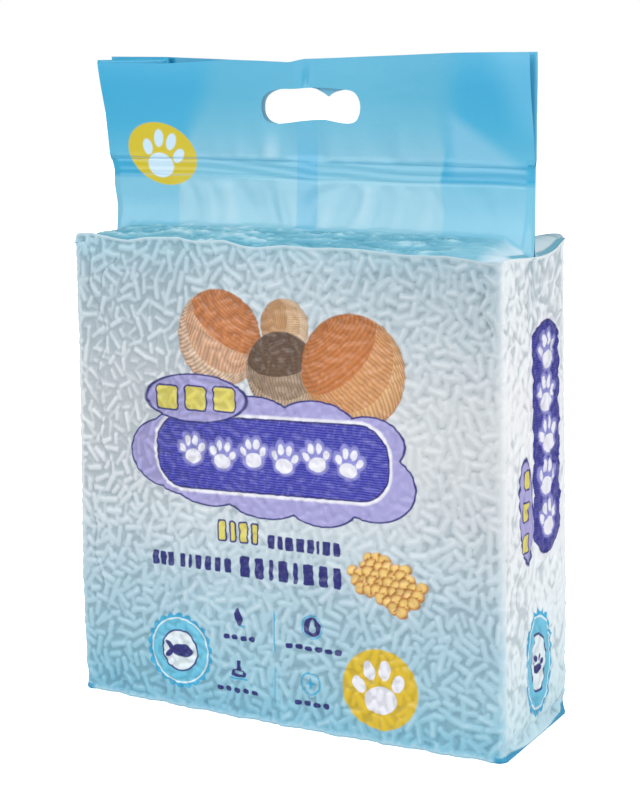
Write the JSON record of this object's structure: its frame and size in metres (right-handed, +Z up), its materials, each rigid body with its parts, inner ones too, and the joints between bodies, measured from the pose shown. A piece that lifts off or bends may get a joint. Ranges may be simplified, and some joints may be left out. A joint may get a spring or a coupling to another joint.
{
  "type": "cat litter bag",
  "caption": "Vacuum packed brick of cat litter pellets in a side gusset film bag, with a flat sealed header and a die cut carrying handle.",
  "frame": {"origin": "middle of the flat base that the bag stands on", "axes": "+Z up through the header, +Y towards the back panel with the lengthwise seam, +X along the width"},
  "size_m": [0.273, 0.094, 0.366],
  "materials": {
    "printed_film": "satin printed film, pale blue"
  },
  "bodies": {
    "root": {"litter_bag": "printed_film"}
  },
  "joints": []
}
